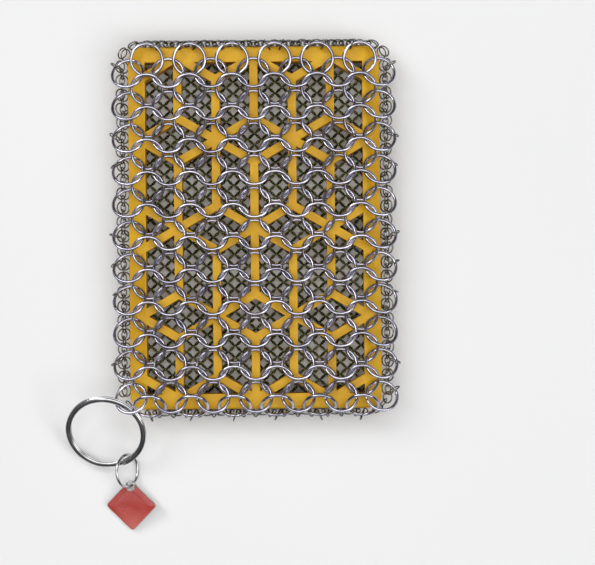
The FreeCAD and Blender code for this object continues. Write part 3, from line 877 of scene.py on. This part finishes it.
def make_handling():
    """Dull patches from use, with finer dirt in them."""
    group, given, made = new_group("handling", ["Dull"])
    patches = noise(group, given["Vector"], given["Fineness"], detail=2.0)
    finer = calculate(group, "MULTIPLY", given["Fineness"], 11.0)
    specks = noise(group, given["Vector"], finer, detail=4.0, roughness=0.65)
    both = calculate(group, "MULTIPLY", spread(group, patches, 0.42, 0.66),
                     spread(group, specks, 0.35, 0.7))
    group.links.new(both, made["Dull"])
    return group


def new_finish(name):
    """New material with its shader and the object's own coordinates."""
    finish = bpy.data.materials.new(name)
    finish.use_nodes = True
    tree = finish.node_tree
    place = tree.nodes.new("ShaderNodeTexCoord").outputs["Object"]
    return finish, tree, tree.nodes["Principled BSDF"], place


def use_group(tree, group, vector, fineness):
    node = tree.nodes.new("ShaderNodeGroup")
    node.node_tree = group
    tree.links.new(vector, node.inputs["Vector"])
    node.inputs["Fineness"].default_value = fineness
    return node.outputs


def raise_surface(tree, shader, height, depth, strength):
    """Bump of a given depth in millimetres."""
    bump = tree.nodes.new("ShaderNodeBump")
    bump.inputs["Strength"].default_value = strength
    bump.inputs["Distance"].default_value = depth * MM
    tree.links.new(height, bump.inputs["Height"])
    tree.links.new(bump.outputs["Normal"], shader.inputs["Normal"])


def steel_finish(name, dark, light, smooth, rough, fineness, per_ring=False):
    """Bare or plated steel: cloudy tone, scratches, dull patches, and a tone of its own for each ring."""
    finish, tree, shader, place = new_finish(name)
    shader.inputs["Metallic"].default_value = 1.0
    grain = use_group(tree, wire_grain, place, fineness)
    dull = use_group(tree, handling, place, fineness / 9)["Dull"]
    tone = grain["Tone"]
    if per_ring:
        own = tree.nodes.new("ShaderNodeAttribute")
        own.attribute_name = "ring_tone"
        tone = halves(tree, tone, own.outputs["Fac"])
    tree.links.new(blend_colours(tree, tone, dark, light), shader.inputs["Base Color"])
    worn = halves(tree, grain["Scratch"], dull)
    tree.links.new(spread(tree, worn, 0.0, 1.0, smooth, rough), shader.inputs["Roughness"])
    raise_surface(tree, shader, grain["Scratch"], depth=0.03, strength=0.35)
    return finish


def silicone_finish():
    """Moulded silicone: warm yellow with faint clouds, darker dull patches and a fine pebbled skin."""
    finish, tree, shader, place = new_finish("silicone")
    clouds = spread(tree, noise(tree, place, scale=70.0), 0.35, 0.65)
    base = blend_colours(tree, clouds, SILICONE_DEEP, SILICONE_WARM)
    dull = use_group(tree, handling, place, 45.0)["Dull"]
    soiled = spread(tree, dull, 0.0, 1.0, to_high=0.5)
    tree.links.new(blend_colours(tree, soiled, base, SILICONE_SOILED), shader.inputs["Base Color"])
    pebbles = noise(tree, place, scale=1400.0, detail=2.0)
    tree.links.new(spread(tree, pebbles, 0.3, 0.7, to_low=0.36, to_high=0.55), shader.inputs["Roughness"])
    shader.inputs["Specular IOR Level"].default_value = 0.3
    raise_surface(tree, shader, pebbles, depth=0.06, strength=0.3)
    return finish


def enamel_finish():
    """Coloured enamel under a clear coat, with scuffs, and painted light that makes it brighter and paler
    from its hole to its far corner.
    """
    finish, tree, shader, place = new_finish("enamel")
    hole, away, _ = charm_frame()
    tip = hole + away * (CHARM_HOLE_IN + CHARM_SIDE / math.sqrt(2))
    # Painted light: the enamel grows brighter from the hole to the far corner
    painted_light_ramp = spread(tree, coordinate(tree, place, "Y"), hole.y * MM, tip.y * MM)
    clouds = spread(tree, noise(tree, place, scale=160.0), 0.3, 0.7)
    tone = calculate(tree, "ADD", calculate(tree, "MULTIPLY", clouds, 0.3),
                     calculate(tree, "MULTIPLY", painted_light_ramp, 0.7))
    base = blend_colours(tree, tone, ENAMEL_DEEP, ENAMEL_BRIGHT)
    dull = use_group(tree, handling, place, 220.0)["Dull"]
    scuffed = spread(tree, dull, 0.0, 1.0, to_high=0.35)
    # Painted light also pales the enamel near the far corner; the scuffs are real wear
    painted_paling = spread(tree, painted_light_ramp, 0.5, 1.0, to_high=0.6)
    scuffs_and_painted_paling = calculate(tree, "MAXIMUM", scuffed, painted_paling)
    tree.links.new(blend_colours(tree, scuffs_and_painted_paling, base, ENAMEL_PALE), shader.inputs["Base Color"])
    tree.links.new(spread(tree, dull, 0.0, 1.0, to_low=0.28, to_high=0.5), shader.inputs["Roughness"])
    shader.inputs["Coat Weight"].default_value = 0.15
    shader.inputs["Coat Roughness"].default_value = 0.12
    raise_surface(tree, shader, clouds, depth=0.04, strength=0.25)
    return finish


def paint(finish, *objs):
    for obj in objs:
        obj.data.materials.clear()
        obj.data.materials.append(finish)


# Pieces of the part


grid = model_grid()
large_ring = model_ring("large_ring", LARGE_RADIUS, LARGE_WIRE, LARGE_AROUND, LARGE_SECTION)
small_ring = model_ring("small_ring", SMALL_RADIUS, SMALL_WIRE, SMALL_AROUND, SMALL_SECTION)
front_rows = range(1, LARGE_ROWS + 1)
front = [large_place(row, c) for row in front_rows for c in large_columns(row) if (row, c) != CORNER]
coarse_mail = lay_rings("coarse_mail", large_ring, front, LARGE_PLAY)
corner_ring = lay_rings("corner_ring_welded", large_ring, [large_place(*CORNER)])
back_mail = lay_rings("fine_back_mail", small_ring, back_places())
side_mail = lay_rings("fine_side_mail", small_ring, wall_places(), WALL_PLAY)
edge_links = lay_rings("fine_edge_links", small_ring, edge_link_places())
front_links = lay_rings("fine_front_links", small_ring, front_link_places())
key_ring = model_key_ring()
enamel = model_enamel()
bpy.data.objects.remove(large_ring)
bpy.data.objects.remove(small_ring)

wire_grain = make_wire_grain()
handling = make_handling()
paint(silicone_finish(), grid)
paint(steel_finish("large_ring_steel", per_ring=True, **LARGE_STEEL), coarse_mail, corner_ring)
paint(steel_finish("small_ring_steel", per_ring=True, **SMALL_STEEL), side_mail, edge_links, front_links)
# The back mail's finish carries painted shade and a painted yellow reflection of the silicone
paint(steel_finish("back_ring_steel_painted_shade", per_ring=True, **SHADED_OLIVE_BACK_STEEL), back_mail)
paint(steel_finish("key_ring_plating", **KEY_STEEL), key_ring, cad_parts["jump_ring"])
paint(steel_finish("charm_plating", **CHARM_STEEL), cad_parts["charm_plate"])
paint(enamel_finish(), enamel)

# Each piece with its body, its slot and the first letters of the nodes that it replaces
stands_for = [
    (grid, "scrubber", "silicone", "silicone_insert"),
    (coarse_mail, "scrubber", "large_rings", "large_row_"),
    (corner_ring, "scrubber", "large_rings", "corner_ring"),
    (back_mail, "scrubber", "small_rings", "back_mail_"),
    (side_mail, "scrubber", "small_rings", "side_mail_"),
    (edge_links, "scrubber", "small_rings", "edge_links_"),
    (front_links, "scrubber", "small_rings", "front_links_"),
    (key_ring, "key_ring", "key_ring", "key_ring"),
    (enamel, "charm", "enamel", "charm_enamel"),
]
for piece, body, slot, start in stands_for:
    nodes = [n for n in sorted(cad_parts) if n.startswith(start)]
    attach(piece, body)
    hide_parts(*nodes)


# Studio


def make_floor():
    """Pale table top that catches the part's shadow."""
    bpy.ops.object.select_all(action="DESELECT")
    bpy.ops.mesh.primitive_plane_add(size=FLOOR_SIZE * MM)
    floor = bpy.context.object
    floor.name = "floor"
    finish, tree, shader, place = new_finish("floor_paper")
    clouds = spread(tree, noise(tree, place, scale=6.0), 0.3, 0.7)
    tree.links.new(blend_colours(tree, clouds, FLOOR_SHADE, FLOOR_PALE), shader.inputs["Base Color"])
    shader.inputs["Roughness"].default_value = 0.9
    shader.inputs["Specular IOR Level"].default_value = 0.2
    paint(finish, floor)


def soft_lamp(name, place, size, brightness):
    """Square soft box that faces the part; brightness is what its face shows."""
    lamp = bpy.data.lights.new(name, "AREA")
    lamp.size = size * MM
    lamp.energy = brightness * math.pi * (size * MM) ** 2
    obj = bpy.data.objects.new(name, lamp)
    obj.location = Vector(place) * MM
    obj.rotation_euler = (-Vector(place)).to_track_quat("-Z", "Y").to_euler()
    bpy.context.scene.collection.objects.link(obj)


def make_world():
    """Grey surroundings, darker towards the horizon so that round metal shows its edges."""
    world = bpy.data.worlds.new("studio")
    world.use_nodes = True
    tree = world.node_tree
    sky = tree.nodes.new("ShaderNodeTexCoord").outputs["Generated"]
    height = spread(tree, coordinate(tree, sky, "Z"), HORIZON_HEIGHT, ZENITH_HEIGHT)
    colour = blend_colours(tree, height, HORIZON, ZENITH)
    tree.links.new(colour, tree.nodes["Background"].inputs["Color"])
    bpy.context.scene.world = world


def make_camera():
    """Camera straight above the photograph's middle, turned by the part's lean."""
    camera = bpy.data.cameras.new("camera")
    camera.sensor_fit = "HORIZONTAL"
    camera.sensor_width = SENSOR
    camera.lens = SENSOR * CAMERA_HEIGHT / (PHOTO_WIDTH * PIXEL)
    obj = bpy.data.objects.new("camera", camera)
    x = (PHOTO_WIDTH / 2 - PART_PIXEL[0]) * PIXEL
    y = (PART_PIXEL[1] - PHOTO_HEIGHT / 2) * PIXEL
    obj.location = Vector((x, y, FRONT_MID + CAMERA_HEIGHT)) * MM
    obj.rotation_euler = (0, 0, math.radians(-PART_LEAN))
    bpy.context.scene.collection.objects.link(obj)
    bpy.context.scene.camera = obj


make_floor()
make_world()
soft_lamp("overhead", **OVERHEAD)
soft_lamp("window", **WINDOW)
soft_lamp("fill", **FILL)
make_camera()

bpy.context.scene.view_settings.view_transform = "Standard"
